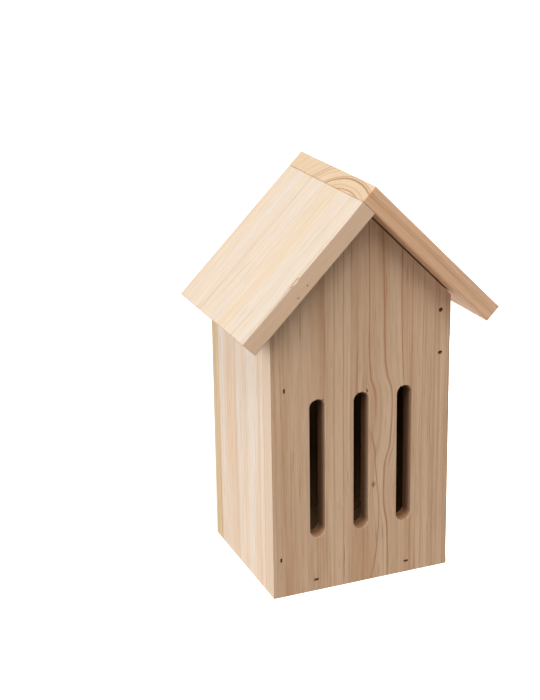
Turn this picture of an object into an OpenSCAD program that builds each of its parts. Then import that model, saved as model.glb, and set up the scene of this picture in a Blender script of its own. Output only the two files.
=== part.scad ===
// A wooden house for butterflies and other insects, nailed together from seven boards.
// X runs across the front, +Y points to the back, +Z is up.
// The origin is on the ground, under the middle of the body.

/* [Boards] */
// Thickness of every board
board_t = 10; // [8:0.5:14]
// Width of the body across its front
body_w = 104; // [90:1:130]
// Depth of the body from the front panel's face to the back panel's face
body_d = 88; // [70:1:120]
// Height of the roof's underside at the outer faces of the two sides
eave_h = 159; // [140:1:210]

/* [Roof] */
// Length of the left roof board down its slope
roof_left_len = 93; // [85:1:120]
// Width of both roof boards from front to back
roof_w = 94; // [85:1:130]
// How far the roof stands out in front of the front panel
roof_overhang = 15; // [5:1:30]
// Open joint under the right roof board, square to its slope
right_gap = 0.8; // [0.2:0.1:1.5]

/* [Entrance slots] */
// Number of slots
slot_count = 3; // [1:1:3]
// Width of a slot
slot_w = 9; // [6:0.5:13]
// Height of a slot, round ends included
slot_h = 79; // [50:1:100]
// Height of the slots' lower ends above the ground
slot_bottom = 31.5; // [20:0.5:45]
// Distance from one slot to the next
slot_pitch = 25.5; // [18:0.5:30]
// How far the row of slots sits off the middle of the front
slot_shift = -0.4; // [-2:0.1:2]

/* [Brads] */
// Length of a brad
brad_len = 25; // [18:1:30]
// Width of a brad's wire
brad_w = 1.3; // [0.8:0.1:1.6]
// Thickness of a brad's wire and head
brad_t = 1.1; // [0.8:0.1:1.4]
// Width of a brad's head
brad_head_w = 2.4; // [1.8:0.1:3]
// Height of a brad's head
brad_head_h = 0.8; // [0.5:0.1:1.2]
// Length of a brad's chisel point
brad_point = 2; // [1:0.5:3]
// How far a head is driven below the wood's surface
brad_sink = 0.8; // [0.3:0.1:1.5]
// Distance of the floor's brads from the middle of the body
floor_brad_x = 27; // [15:1:35]
// Height of the floor's brads
floor_brad_h = 6.5; // [4:0.1:6.5]
// Height of the lower brad on the left
left_low_h = 22; // [15:1:60]
// Distance of the lower left brad from the left edge
left_low_in = 4.6; // [3:0.1:7.5]
// Height of the upper brad on the left
left_high_h = 118; // [80:1:135]
// Distance of the upper left brad from the left edge
left_high_in = 7.4; // [3:0.1:7.5]
// Height of the lower brad on the right
right_low_h = 126; // [80:1:130]
// Height of the upper brad on the right
right_high_h = 150; // [135:1:152]
// Distance of the right brads from the right edge
right_in = 5.9; // [3:0.1:7]
// How far the lower right brad's head is turned from level
right_low_turn = 20; // [0:5:90]
// How far the upper right brad's head is turned from level
right_high_turn = 65; // [0:5:90]
// Distance from one ridge brad to the next
ridge_brad_pitch = 32; // [20:1:35]
// How far down the slope the upper gable brad sits
gable_brad_high = 22; // [15:1:30]
// Distance between the two gable brads
gable_brad_pitch = 34; // [20:1:38]
// Length of the short brads in the right side board
short_brad_len = 16; // [14:0.5:17]
// Distance from one short brad to the next
short_brad_pitch = 24; // [15:1:28]
// Distance of the short brads from the side board's outer face
short_brad_in = 3.5; // [2.5:0.1:4.5]

/* [Hanger] */
// Height of the ring's bar above the ground
ring_bar_h = 178; // [165:1:180]
// Diameter of the ring's wire
wire_d = 2; // [1.5:0.1:2.4]
// Width of the ring between the middles of its two legs
ring_w = 16; // [14:0.5:20]
// Length of the ring's straight legs
ring_leg = 8; // [7:0.5:10]
// Radial clearance of the bar in the strap's eye
bar_clearance = 0.08; // [0.03:0.01:0.1]
// Width of the strap
strap_w = 10; // [8:0.5:11]
// Thickness of the strap's sheet
strap_t = 1; // [0.8:0.1:1.2]
// Length of the strap below the bar
strap_len = 13; // [12:0.5:13.5]
// Distance from the bar down to where the strap's two leaves meet
leaf_meet = 4; // [3:0.5:4.5]
// Distance from the bar down to the screw
screw_drop = 8.6; // [8:0.1:9]
// Diameter of the screw's shank
screw_d = 3; // [2.5:0.1:3.2]
// Length of the screw under its head
screw_len = 9.5; // [8:0.5:10]
// Length of the screw's point
screw_point = 2.5; // [1.5:0.5:3]
// Diameter of the screw's head
screw_head_d = 5.6; // [5:0.1:6]
// Height of the screw's head
screw_head_h = 1.9; // [1.5:0.1:2.4]
// Radial clearance of the screw's shank in the strap
screw_clearance = 0.15; // [0.1:0.05:0.3]
// Width of the slots of the screw's cross recess
recess_w = 0.9; // [0.6:0.1:1.2]
// Span of the cross recess
recess_span = 3.2; // [2.5:0.1:3.6]
// Depth of the cross recess
recess_depth = 1.2; // [0.8:0.1:1.3]

/* [Hidden] */
$fn = 64;

// The roof boards meet at a right angle, so each slope falls at half of that.
slope = 45;
// A small length that lets a cut run clear of a surface
eps = 0.5;

front_y = -body_d / 2;
back_y = body_d / 2;
inner_w = body_w - 2 * board_t;
inner_d = body_d - 2 * board_t;
// The right board laps the left board's end, so it is longer by one thickness and both eaves are level.
roof_right_len = roof_left_len + board_t;
roof_y = front_y - roof_overhang;
roof_mid_y = roof_y + roof_w / 2;
// Height of the line where the undersides of the two roof boards meet
ridge_h = eave_h + body_w / 2 * tan(slope);
// How far the open joint lowers the right-hand slope, measured straight down
gap_drop = right_gap / cos(slope);

// Each brad of a side: its distance from the edge, its height and its head's turn from level
left_brads = [[left_low_in, left_low_h, 90], [left_high_in, left_high_h, 90]];
right_brads = [[right_in, right_low_h, right_low_turn], [right_in, right_high_h, right_high_turn]];

bar_r = wire_d / 2;
eye_r = bar_r + bar_clearance;
// How far the sheet's bends fall short of a smooth curve
bend_ease = 0.2;
// The strap's back leaf lies on the wood, and its eye holds the bar clear of it.
bar_out = strap_t + eye_r + bend_ease / 4;
bar_y = back_y + bar_out;
screw_h = ring_bar_h - screw_drop;
screw_seat_y = back_y + 2 * strap_t;

wood_front = "tan";
wood_side = "wheat";
wood_roof = "bisque";
wood_inside = "burlywood";
steel = "silver";

// ---------- where things go ----------

// The children's X runs down the right-hand slope, and their Z points out of it.
module on_right_slope() {
    translate([0, 0, ridge_h]) rotate([0, slope, 0]) children();
}

// The children's -X runs down the left-hand slope, and their Z points out of it.
module on_left_slope() {
    translate([0, 0, ridge_h]) rotate([0, -slope, 0]) children();
}

// Puts a brad on the front or back face. "turn" is its head's angle from level.
module into_face(front, x, z, turn) {
    translate([x, front ? front_y : back_y, z]) rotate([front ? 90 : -90, 0, 0])
        rotate([0, 0, turn]) children();
}

// The brads that hold the front or back panel to one side board
module at_side_brads(left, front) {
    for (b = left ? left_brads : right_brads)
        into_face(front, (left ? -1 : 1) * (body_w / 2 - b[0]), b[1], b[2]) children();
}

// The brads that hold the front or back panel to the floor
module at_floor_brads(front) {
    for (x = [-floor_brad_x, floor_brad_x])
        into_face(front, x, floor_brad_h, 0) children();
}

// The ridge brads go through the right board into the middle of the left board's end.
module at_ridge_brads() {
    for (i = [-1 : 1])
        on_right_slope() translate([-board_t / 2, roof_mid_y + i * ridge_brad_pitch, board_t])
            rotate([0, 0, 90]) children();
}

// The gable brads go through the right board into the front panel's sloping edge.
module at_gable_brads() {
    for (i = [0, 1])
        on_right_slope()
            translate([gable_brad_high + i * gable_brad_pitch, front_y + board_t / 2, board_t]) children();
}

// The short brads go through the right board into the bevelled top of the right side board.
module at_eave_brads() {
    for (i = [-1 : 1])
        on_right_slope()
            translate([(body_w / 2 - short_brad_in) / cos(slope), i * short_brad_pitch, board_t])
                rotate([0, 0, 90]) children();
}

// ---------- fasteners ----------

// A brad driven down -Z from the surface at the origin, seen from the side: head, wire and chisel point.
module brad_profile(len) {
    head = brad_head_w / 2;
    wire = brad_w / 2;
    under = -brad_sink - brad_head_h;
    tip = -brad_sink - len;
    polygon([
        [-head, -brad_sink], [-head, under], [-wire, under], [-wire, tip + brad_point],
        [0, tip],
        [wire, tip + brad_point], [wire, under], [head, under], [head, -brad_sink]
    ]);
}

module brad(len = brad_len) {
    rotate([90, 0, 0]) linear_extrude(brad_t, center = true) brad_profile(len);
}

// What a brad takes out of the wood: its own shape, and the pit that its head leaves above it.
module brad_hole(len = brad_len) {
    brad(len);
    translate([-brad_head_w / 2, -brad_t / 2, -brad_sink]) cube([brad_head_w, brad_t, brad_sink + eps]);
}

// All the holes in the front or back panel's face
module face_brad_holes(front) {
    at_side_brads(true, front) brad_hole();
    at_side_brads(false, front) brad_hole();
    at_floor_brads(front) brad_hole();
}

// The hanger's screw points down -Z from the top of the strap, which is the origin.
module screw_shank() {
    straight = screw_len - screw_point;
    translate([0, 0, -straight]) cylinder(h = straight, d = screw_d);
    translate([0, 0, -screw_len]) cylinder(h = screw_point, d1 = 0.6, d2 = screw_d);
}

module screw() {
    screw_shank();
    difference() {
        rotate_extrude() screw_head_profile();
        for (a = [0, 90])
            rotate([0, 0, a]) translate([-recess_span / 2, -recess_w / 2, screw_head_h - recess_depth])
                cube([recess_span, recess_w, recess_depth + eps]);
    }
}

// Half of a pan head: a flat underside, a straight edge and a domed top.
module screw_head_profile() {
    r = screw_head_d / 2;
    edge = screw_head_h / 3;
    // Radius of the sphere that passes through the edge's top and the crown
    dome = (r * r + pow(screw_head_h - edge, 2)) / (2 * (screw_head_h - edge));
    intersection() {
        square([r, screw_head_h]);
        translate([0, screw_head_h - dome]) circle(dome);
    }
}

module at_screw() {
    translate([0, screw_seat_y, screw_h]) rotate([-90, 0, 0]) children();
}

// ---------- boards ----------

// The front and back panels' outline, in X and Z. The right-hand slope sits lower by the open joint.
module gable_outline() {
    half = body_w / 2;
    apex_shift = gap_drop / 2;
    polygon([
        [-half, 0], [half, 0],
        [half, eave_h - gap_drop],
        [-apex_shift, ridge_h - apex_shift],
        [-half, eave_h]
    ]);
}

// A panel that reaches from its rear face forward by one board's thickness
module gable_panel(rear_y) {
    translate([0, rear_y, 0]) rotate([90, 0, 0]) linear_extrude(board_t) gable_outline();
}

// One slot: two round ends and the straight stretch between them, cut along Y.
module slot() {
    r = slot_w / 2;
    for (z = [r, slot_h - r])
        translate([0, 0, z]) rotate([90, 0, 0]) cylinder(h = board_t + 2 * eps, r = r, center = true);
    translate([-r, -board_t / 2 - eps, r]) cube([slot_w, board_t + 2 * eps, slot_h - slot_w]);
}

module slots() {
    for (i = [0 : slot_count - 1])
        translate([slot_shift + (i - (slot_count - 1) / 2) * slot_pitch, front_y + board_t / 2, slot_bottom])
            slot();
}

// A side board stands between the two panels. Its top is bevelled to lie along the roof.
module side_board(left) {
    outer = (left ? -1 : 1) * body_w / 2;
    inner = (left ? -1 : 1) * inner_w / 2;
    outer_h = eave_h - (left ? 0 : gap_drop);
    inner_h = outer_h + board_t * tan(slope);
    difference() {
        translate([0, inner_d / 2, 0]) rotate([90, 0, 0]) linear_extrude(inner_d)
            polygon([[outer, 0], [inner, 0], [inner, inner_h], [outer, outer_h]]);
        at_side_brads(left, true) brad_hole();
        at_side_brads(left, false) brad_hole();
        if (!left) at_eave_brads() brad_hole(short_brad_len);
    }
}

module front_panel() {
    color(wood_front) difference() {
        gable_panel(front_y + board_t);
        slots();
        face_brad_holes(true);
        at_gable_brads() brad_hole();
    }
}

module back_panel() {
    color(wood_inside) difference() {
        gable_panel(back_y);
        face_brad_holes(false);
        at_screw() screw_shank();
    }
}

module left_side() {
    color(wood_side) side_board(true);
}

module right_side() {
    color(wood_side) side_board(false);
}

module floor_board() {
    color(wood_inside) difference() {
        translate([-inner_w / 2, -inner_d / 2, 0]) cube([inner_w, inner_d, board_t]);
        at_floor_brads(true) brad_hole();
        at_floor_brads(false) brad_hole();
    }
}

module left_roof() {
    color(wood_roof) difference() {
        on_left_slope() translate([-roof_left_len, roof_y, 0]) cube([roof_left_len, roof_w, board_t]);
        at_ridge_brads() brad_hole();
    }
}

module right_roof() {
    color(wood_roof) difference() {
        on_right_slope() translate([-board_t, roof_y, 0]) cube([roof_right_len, roof_w, board_t]);
        at_ridge_brads() brad_hole();
        at_gable_brads() brad_hole();
        at_eave_brads() brad_hole(short_brad_len);
    }
}

// ---------- brads ----------

module front_left_brads() {
    color(steel) at_side_brads(true, true) brad();
}

module front_right_brads() {
    color(steel) at_side_brads(false, true) brad();
}

module front_floor_brads() {
    color(steel) at_floor_brads(true) brad();
}

module back_left_brads() {
    color(steel) at_side_brads(true, false) brad();
}

module back_right_brads() {
    color(steel) at_side_brads(false, false) brad();
}

module back_floor_brads() {
    color(steel) at_floor_brads(false) brad();
}

module ridge_brads() {
    color(steel) at_ridge_brads() brad();
}

module gable_brads() {
    color(steel) at_gable_brads() brad();
}

module eave_brads() {
    color(steel) at_eave_brads() brad(short_brad_len);
}

// ---------- hanger ----------

// The strap seen from its side: X is the distance from the wood, Y the height from the bar.
// The sheet runs up the wood, round the bar and down again onto itself.
module strap_profile() {
    fold_r = eye_r + strap_t;
    bar = [bar_out, 0];
    // The front leaf slants from the eye to the back leaf, which it meets at leaf_meet below the bar.
    reach = norm([eye_r, leaf_meet]);
    lean = atan2(eye_r, leaf_meet) + asin(eye_r / reach);
    out = [cos(lean), sin(lean)];
    inner_meet = [strap_t, -leaf_meet];
    // Where the slanting stretch's outer face meets the flat leaf's outer face
    outer_meet = inner_meet + strap_t * [1, -tan(lean / 2)];
    difference() {
        union() {
            translate(bar) circle(fold_r);
            // both leaves, with the slanting stretch above them
            polygon([
                [0, -strap_len], [2 * strap_t, -strap_len], outer_meet,
                bar + (fold_r - bend_ease) * out, bar,
                [2 * bend_ease, 0], [0, -leaf_meet / 4]
            ]);
        }
        translate(bar) circle(eye_r);
        // the narrow gap between the leaves, under the bar
        polygon([inner_meet, [bar_out - eye_r + bend_ease / 2, -bend_ease], bar, bar + 0.9 * eye_r * out]);
    }
}

module hanger_strap() {
    color(steel) difference() {
        translate([-strap_w / 2, back_y, ring_bar_h]) rotate([90, 0, 90]) linear_extrude(strap_w) strap_profile();
        at_screw() translate([0, 0, -2 * strap_t - eps])
            cylinder(h = 2 * strap_t + 2 * eps, d = screw_d + 2 * screw_clearance);
    }
}

// A straight bar, two legs and a half-round bow, bent from one wire. It is drawn hanging down.
module ring_shape() {
    half = ring_w / 2;
    bend = wire_d;
    // the bar, which the strap's eye holds
    translate([-half + bend, 0, 0]) rotate([0, 90, 0]) cylinder(h = ring_w - 2 * bend, d = wire_d);
    for (side = [-1, 1]) {
        // the bend from the bar into the leg
        translate([side * (half - bend), 0, -bend]) rotate([90, 0, 0])
            rotate([0, 0, side > 0 ? 0 : 90]) rotate_extrude(angle = 90) translate([bend, 0]) circle(bar_r);
        translate([side * half, 0, -ring_leg]) cylinder(h = ring_leg - bend, d = wire_d);
    }
    translate([0, 0, -ring_leg]) rotate([90, 0, 0])
        rotate([0, 0, 180]) rotate_extrude(angle = 180) translate([half, 0]) circle(bar_r);
}

module hanger_ring() {
    color(steel) translate([0, bar_y, ring_bar_h]) ring_shape();
}

module hanger_screw() {
    color(steel) at_screw() screw();
}

front_panel();
back_panel();
left_side();
right_side();
floor_board();
left_roof();
right_roof();
front_left_brads();
front_right_brads();
front_floor_brads();
back_left_brads();
back_right_brads();
back_floor_brads();
ridge_brads();
gable_brads();
eave_brads();
hanger_strap();
hanger_ring();
hanger_screw();
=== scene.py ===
# %% [markdown]
# # A wooden house for butterflies
# Seven sawn softwood boards, a handful of brads and a small ring hanger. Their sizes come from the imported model.
# This script gives them what the tree, a saw, a router and a nail gun leave: growth rings, eased edges, cracks
# and torn fibres.

# %% Load the frame and keep its box
import bpy
import bmesh
import math
from contextlib import contextmanager
from mathutils import Matrix, Vector


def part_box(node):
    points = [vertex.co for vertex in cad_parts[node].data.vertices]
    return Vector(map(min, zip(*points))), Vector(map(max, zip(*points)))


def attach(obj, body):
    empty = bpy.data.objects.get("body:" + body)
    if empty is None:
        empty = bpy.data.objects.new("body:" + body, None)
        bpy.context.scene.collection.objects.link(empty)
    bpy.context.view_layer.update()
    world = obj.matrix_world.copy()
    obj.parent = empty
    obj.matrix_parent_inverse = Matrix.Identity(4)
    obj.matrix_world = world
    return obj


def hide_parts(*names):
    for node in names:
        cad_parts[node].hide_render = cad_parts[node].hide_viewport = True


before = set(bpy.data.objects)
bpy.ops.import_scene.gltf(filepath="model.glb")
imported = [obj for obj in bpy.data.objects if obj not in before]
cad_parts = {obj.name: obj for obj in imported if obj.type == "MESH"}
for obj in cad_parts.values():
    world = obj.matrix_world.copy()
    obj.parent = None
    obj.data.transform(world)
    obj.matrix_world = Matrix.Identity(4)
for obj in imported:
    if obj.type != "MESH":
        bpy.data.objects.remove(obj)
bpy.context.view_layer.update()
MM = 0.001

# %% [markdown]
# The first helper adds a node with its settings and links, for shader and geometry trees alike. The next turns
# a colour in sRGB hex into the linear values that Blender mixes. The rest start an object or a material, and
# build short chains of nodes that come back again and again.

# %% Helpers
def put(tree, kind, inputs=None, **settings):
    node = tree.nodes.new(kind)
    for name, value in settings.items():
        setattr(node, name, value)
    for key, value in (inputs or {}).items():
        if isinstance(value, bpy.types.NodeSocket):
            tree.links.new(value, node.inputs[key])
        else:
            node.inputs[key].default_value = value
    return node


def linear(colour):
    parts = [int(colour[i:i + 2], 16) / 255 for i in (1, 3, 5)]
    return tuple(c / 12.92 if c <= 0.04045 else ((c + 0.055) / 1.055) ** 2.4 for c in parts) + (1.0,)


def put_in_scene(name, data):
    obj = bpy.data.objects.new(name, data)
    bpy.context.scene.collection.objects.link(obj)
    return obj


@contextmanager
def edited(mesh):
    """A mesh open for editing, written back at the end."""
    bm = bmesh.new()
    bm.from_mesh(mesh)
    yield bm
    bm.to_mesh(mesh)
    bm.free()


def blank_material(name):
    mat = bpy.data.materials.new(name)
    mat.use_nodes = True
    mat.node_tree.nodes.clear()
    return mat, mat.node_tree


def graph(tree, value, points, span, height):
    """A curve through given points: value runs from 0 to span, and the points give the height there, from 0 to
    height.
    """
    part = put(tree, "ShaderNodeMath", {0: value, 1: span}, operation="DIVIDE").outputs[0]
    curve = put(tree, "ShaderNodeFloatCurve", {"Value": part})
    drawn = curve.mapping.curves[0].points
    for i, (x, y) in enumerate(points):
        if i < 2:
            drawn[i].location = (x / span, y / height)
        else:
            drawn.new(x / span, y / height)
    curve.mapping.update()
    return put(tree, "ShaderNodeMath", {0: curve.outputs[0], 1: height}, operation="MULTIPLY").outputs[0]


def line_near(tree, value, place, width, strength=1.0, core=0.0):
    """How strongly a line shows: full within its core, then fading to nothing at its width."""
    apart = put(tree, "ShaderNodeMath", {0: value, 1: place}, operation="SUBTRACT").outputs[0]
    apart = put(tree, "ShaderNodeMath", {0: apart}, operation="ABSOLUTE").outputs[0]
    return put(tree, "ShaderNodeMapRange", {0: apart, 1: core, 2: width, 3: strength, 4: 0.0},
               interpolation_type="SMOOTHSTEP").outputs[0]


def distance_from(tree, place, middle, scale=(1, 1, 0)):
    """The distance from a middle, given in the space that the scale makes."""
    out = put(tree, "ShaderNodeVectorMath", {0: place, 1: scale, 2: tuple(-c for c in middle)},
              operation="MULTIPLY_ADD").outputs[0]
    return put(tree, "ShaderNodeVectorMath", {0: out}, operation="LENGTH").outputs["Value"]


def facing(tree, direction, low, high, least, most):
    """Runs from least to most as a face turns to look along a direction, either way round."""
    normal = put(tree, "ShaderNodeTexCoord").outputs["Normal"]
    turn = put(tree, "ShaderNodeVectorMath", {0: normal, 1: direction}, operation="DOT_PRODUCT").outputs["Value"]
    turn = put(tree, "ShaderNodeMath", {0: turn}, operation="ABSOLUTE").outputs[0]
    return put(tree, "ShaderNodeMapRange", {0: turn, 1: low, 2: high, 3: least, 4: most}).outputs[0]


def stretched_noise(tree, vector, scale, location=(0, 0, 0), detail=1.0, roughness=0.5):
    """Noise drawn out along the grain: the scale is in cycles a millimetre."""
    at = put(tree, "ShaderNodeMapping", {"Vector": vector, "Scale": scale, "Location": location}).outputs[0]
    return put(tree, "ShaderNodeTexNoise", {"Vector": at, "Scale": 1.0, "Detail": detail,
                                            "Roughness": roughness}).outputs


# %% [markdown]
# The main sizes are measured on the frame instead of being typed again.

# %% Measure the frame
front_lo, front_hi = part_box("front_panel")
floor_lo, floor_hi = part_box("floor_board")
roof_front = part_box("left_roof")[0][1]
roof_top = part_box("right_roof")[1][2]
board_t = floor_hi[2] - floor_lo[2]
front_y = front_lo[1]
half_w = front_hi[0]
print("boards", round(board_t / MM, 2), "mm thick, roof", round(roof_top / MM, 2), "mm high")

# %% [markdown]
# ## Wood
# Sawn spruce and pine are solid stuff: the same growth rings run through the whole board, so they are drawn
# as rings round the tree's middle and simply cut by the board's faces. A long face then shows stripes or flames
# and an end shows arcs, as on a real board. Each board gets its own frame: across (first axis), through its
# thickness (second) and along the grain (third), in millimetres. Sawn wood is matt, so its roughness is high and
# its shine low, and its early wood, late wood and stripes each have a tone.

# %% Wood finish
def sawn_softwood(name, across, through, pith, ring_mm, early, late, tint, contrast=1.0, seed=0.0,
                  wander=2.5, flow=None, marks=None, end_tone="#B98B5A", end_mix=0.28, painted_edge_tone=None,
                  roughness=0.62, streaks=0.3):
    mat, t = blank_material(name)
    along = Vector(across).cross(Vector(through))
    turn = Matrix((Vector(across), Vector(through), along)).to_euler()
    spot = put(t, "ShaderNodeTexCoord").outputs["Object"]
    mm = put(t, "ShaderNodeMapping", {"Vector": spot, "Rotation": turn, "Scale": (1000, 1000, 1000)}).outputs[0]
    # The trunk was never quite straight: a slow wander bends the rings, a quicker one makes them shiver.
    slow = stretched_noise(t, mm, (0.011, 0.011, 0.0042), (seed, seed * 0.7, seed * 1.3))["Color"]
    quick = stretched_noise(t, mm, (0.11, 0.11, 0.016), (seed * 2.1, 3.7, seed), detail=2.0)["Color"]
    slow_mm = put(t, "ShaderNodeVectorMath", {0: slow, 1: (wander * 2, wander * 2, 0),
                                              2: (-wander, -wander, 0)}, operation="MULTIPLY_ADD").outputs[0]
    quick_mm = put(t, "ShaderNodeVectorMath", {0: quick, 1: (1.3, 1.3, 0), 2: slow_mm},
                   operation="MULTIPLY_ADD").outputs[0]
    bent = put(t, "ShaderNodeVectorMath", {0: mm, 1: quick_mm}, operation="ADD").outputs[0]
    if flow:
        bent = flow(t, mm, bent)
    radius = distance_from(t, bent, (*pith, 0))
    # Good years and bad years: ring widths vary slowly from the middle outwards.
    years_w = put(t, "ShaderNodeMath", {0: radius, 1: 0.16 / ring_mm * 3.4}, operation="MULTIPLY").outputs[0]
    years = put(t, "ShaderNodeTexNoise", {"W": years_w, "Scale": 1.0, "Detail": 1.0},
                noise_dimensions="1D").outputs[0]
    even = put(t, "ShaderNodeMath", {0: radius, 1: 1 / ring_mm, 2: seed}, operation="MULTIPLY_ADD").outputs[0]
    ring = put(t, "ShaderNodeMath", {0: years, 1: 1.7, 2: even}, operation="MULTIPLY_ADD").outputs[0]
    part = put(t, "ShaderNodeMath", {0: ring}, operation="FRACT").outputs[0]
    year = put(t, "ShaderNodeMath", {0: ring}, operation="FLOOR").outputs[0]
    # Within a year the wood darkens slowly, then stops short at the winter line.
    rise = put(t, "ShaderNodeMapRange", {0: part, 1: 0.35, 2: 0.93}, interpolation_type="SMOOTHSTEP").outputs[0]
    stop = put(t, "ShaderNodeMapRange", {0: part, 1: 0.94, 2: 1.0, 3: 1.0, 4: 0.0}).outputs[0]
    steep = put(t, "ShaderNodeMath", {0: rise, 1: 3.0}, operation="POWER").outputs[0]
    late_part = put(t, "ShaderNodeMath", {0: steep, 1: stop}, operation="MULTIPLY").outputs[0]
    luck = put(t, "ShaderNodeTexWhiteNoise", {"W": year}, noise_dimensions="1D").outputs["Value"]
    rare = put(t, "ShaderNodeMath", {0: luck, 1: 2.2}, operation="POWER").outputs[0]
    weight = put(t, "ShaderNodeMapRange", {0: rare, 3: 0.14 * contrast, 4: 0.9 * contrast}).outputs[0]
    line = put(t, "ShaderNodeMath", {0: late_part, 1: weight}, operation="MULTIPLY", use_clamp=True).outputs[0]
    # Broad stripes of warmer and paler wood run along the grain.
    broad = stretched_noise(t, bent, (0.075, 0.05, 0.0035), (seed * 5, 1.1, 0), 3.0, 0.6)[0]
    broad_mix = put(t, "ShaderNodeMapRange", {0: broad, 1: 0.4, 2: 0.68, 4: 0.75}).outputs[0]
    # Streaks under two millimetres wide and very long, where the saw met denser wood.
    streak = stretched_noise(t, bent, (0.62, 0.4, 0.0065), (seed * 3, 4.4, 0), 3.0, 0.7)[0]
    streak_mix = put(t, "ShaderNodeMapRange", {0: streak, 1: 0.5, 2: 0.74, 4: streaks}).outputs[0]
    # Fibres: fine streaks half a millimetre wide and about twenty long, as coarse as they need to be to show.
    fibre = stretched_noise(t, bent, (1.9, 1.9, 0.055), detail=3.0, roughness=0.65)[0]
    hair = put(t, "ShaderNodeMapRange", {0: fibre, 1: 0.3, 2: 0.75, 3: 1.05, 4: 0.86}).outputs[0]
    # Resin ducts: rare short dark dashes, the peaks of a noise that is coarser than they are.
    duct = stretched_noise(t, bent, (1.15, 1.15, 0.05), (11, seed, 2))[0]
    duct_mix = put(t, "ShaderNodeMapRange", {0: duct, 1: 0.68, 2: 0.78, 4: 0.45}).outputs[0]
    # Sawn ends drink the light: the fibres stand on end, so they are darker and warmer.
    end_part = facing(t, along, 0.75, 0.97, 0.0, end_mix)
    ringed = linear(early)
    for share, tone in ((broad_mix, tint), (streak_mix, late), (end_part, end_tone), (line, late)):
        ringed = put(t, "ShaderNodeMix", {0: share, 6: ringed, 7: linear(tone)}, data_type="RGBA").outputs[2]
    if marks:
        ringed = marks(t, bent, ringed)
    ducted = put(t, "ShaderNodeMix", {0: duct_mix, 6: ringed, 7: linear(late)}, data_type="RGBA").outputs[2]
    colour = put(t, "ShaderNodeVectorMath", {0: ducted, 3: hair}, operation="SCALE").outputs[0]
    if painted_edge_tone:
        # Painted shade on the long edges: faces turned across the board get a tone of their own. On the left roof
        # board it is darker, for the shade that its front edge lies in; on the front panel it is lighter.
        painted_edge_part = facing(t, across, 0.8, 0.98, 0.0, 0.6)
        colour = put(t, "ShaderNodeMix", {0: painted_edge_part, 6: colour, 7: linear(painted_edge_tone)},
                     data_type="RGBA").outputs[2]
    rough = put(t, "ShaderNodeMapRange", {0: fibre, 1: 0.3, 2: 0.7, 3: roughness - 0.06,
                                          4: roughness + 0.12}).outputs[0]
    relief = put(t, "ShaderNodeMath", {0: line, 1: 0.5, 2: fibre}, operation="MULTIPLY_ADD").outputs[0]
    bump = put(t, "ShaderNodeBump", {"Height": relief, "Strength": 0.35, "Distance": 0.00012}).outputs[0]
    shader = put(t, "ShaderNodeBsdfPrincipled", {"Base Color": colour, "Roughness": rough, "Normal": bump,
                                                 "Specular IOR Level": 0.32})
    put(t, "ShaderNodeOutputMaterial", {"Surface": shader.outputs[0]})
    return mat


print("wood finish ready")

# %% [markdown]
# The front panel was sawn flat, close to the tree's middle. Its rings graze the face, so on the right they
# are ten millimetres apart and snake past a small knot between two slots, and on the left they crowd together.
# The snaking is one curve: how far the middle ring strays sideways, read against the height.

# %% Flow of the front panel's grain
# The height, and how far the middle ring strays there, in millimetres.
TOP_END = 215
MOST_STRAY = 5.0
STRAY = [(0, 2.5), (29, 1.9), (50, -0.3), (64, 0.0), (80, 3.4), (103, 4.4), (118, 1.4), (132, -0.1),
         (160, -0.9), (195, -1.8), (TOP_END, -2.2)]
HEART_X = 14.0


def front_flow(t, mm, bent):
    place = put(t, "ShaderNodeSeparateXYZ", {0: mm}).outputs
    # The curve holds nothing below zero, so an offset is added here and taken away on the next line.
    drawn = graph(t, place[2], [(h, x + MOST_STRAY) for h, x in STRAY], TOP_END, 2 * MOST_STRAY)
    stray = put(t, "ShaderNodeMath", {0: MOST_STRAY, 1: drawn}, operation="SUBTRACT").outputs[0]
    fade = line_near(t, place[0], HEART_X, 15.0, core=3.0)
    push = put(t, "ShaderNodeMath", {0: stray, 1: fade}, operation="MULTIPLY").outputs[0]
    side = put(t, "ShaderNodeCombineXYZ", {0: push}).outputs[0]
    return put(t, "ShaderNodeVectorMath", {0: bent, 1: side}, operation="ADD").outputs[0]


# %% [markdown]
# Nine of the winter lines on the front are far stronger than the rest: reddish, about half a millimetre wide,
# and up to ten millimetres apart. They are drawn on the bent grain, so they follow the same flow. One more line
# has a curve of its own: it belongs to the flame between two slots and closes on the middle line at the knot.

# %% Strong winter lines
# Each line: its offset from the heart's ring, its width, its strength, and the heights between which it shows.
LOW_END = -5
FADE = 12
STRONG = [(-9.2, 0.75, 0.7, 100, TOP_END), (0.0, 0.85, 0.72, LOW_END, TOP_END),
          (10.0, 0.7, 0.65, 100, TOP_END), (-19.9, 0.45, 0.5, 60, TOP_END),
          (16.0, 0.4, 0.4, LOW_END, TOP_END), (-24.3, 0.5, 0.55, LOW_END, TOP_END),
          (-35.4, 0.4, 0.5, 90, TOP_END), (22.3, 0.4, 0.45, LOW_END, 160), (27.2, 0.4, 0.35, LOW_END, 140)]
# The partner line's height, and how far it lies to the left of the heart's ring there.
PARTNER_TOP, PARTNER_MOST = 100, 20
PARTNER = [(0, 9.0), (15, 6.6), (29, 5.2), (43, 3.4), (57, 4.2), (68, 6.0), (82, 9.6), (PARTNER_TOP, 12.5)]
# The knot is longer through the board and along the grain than across.
KNOT_SCALE = (1.0, 0.4, 0.62)
KNOT = (7.6, -17.6, 34.9)


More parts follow.
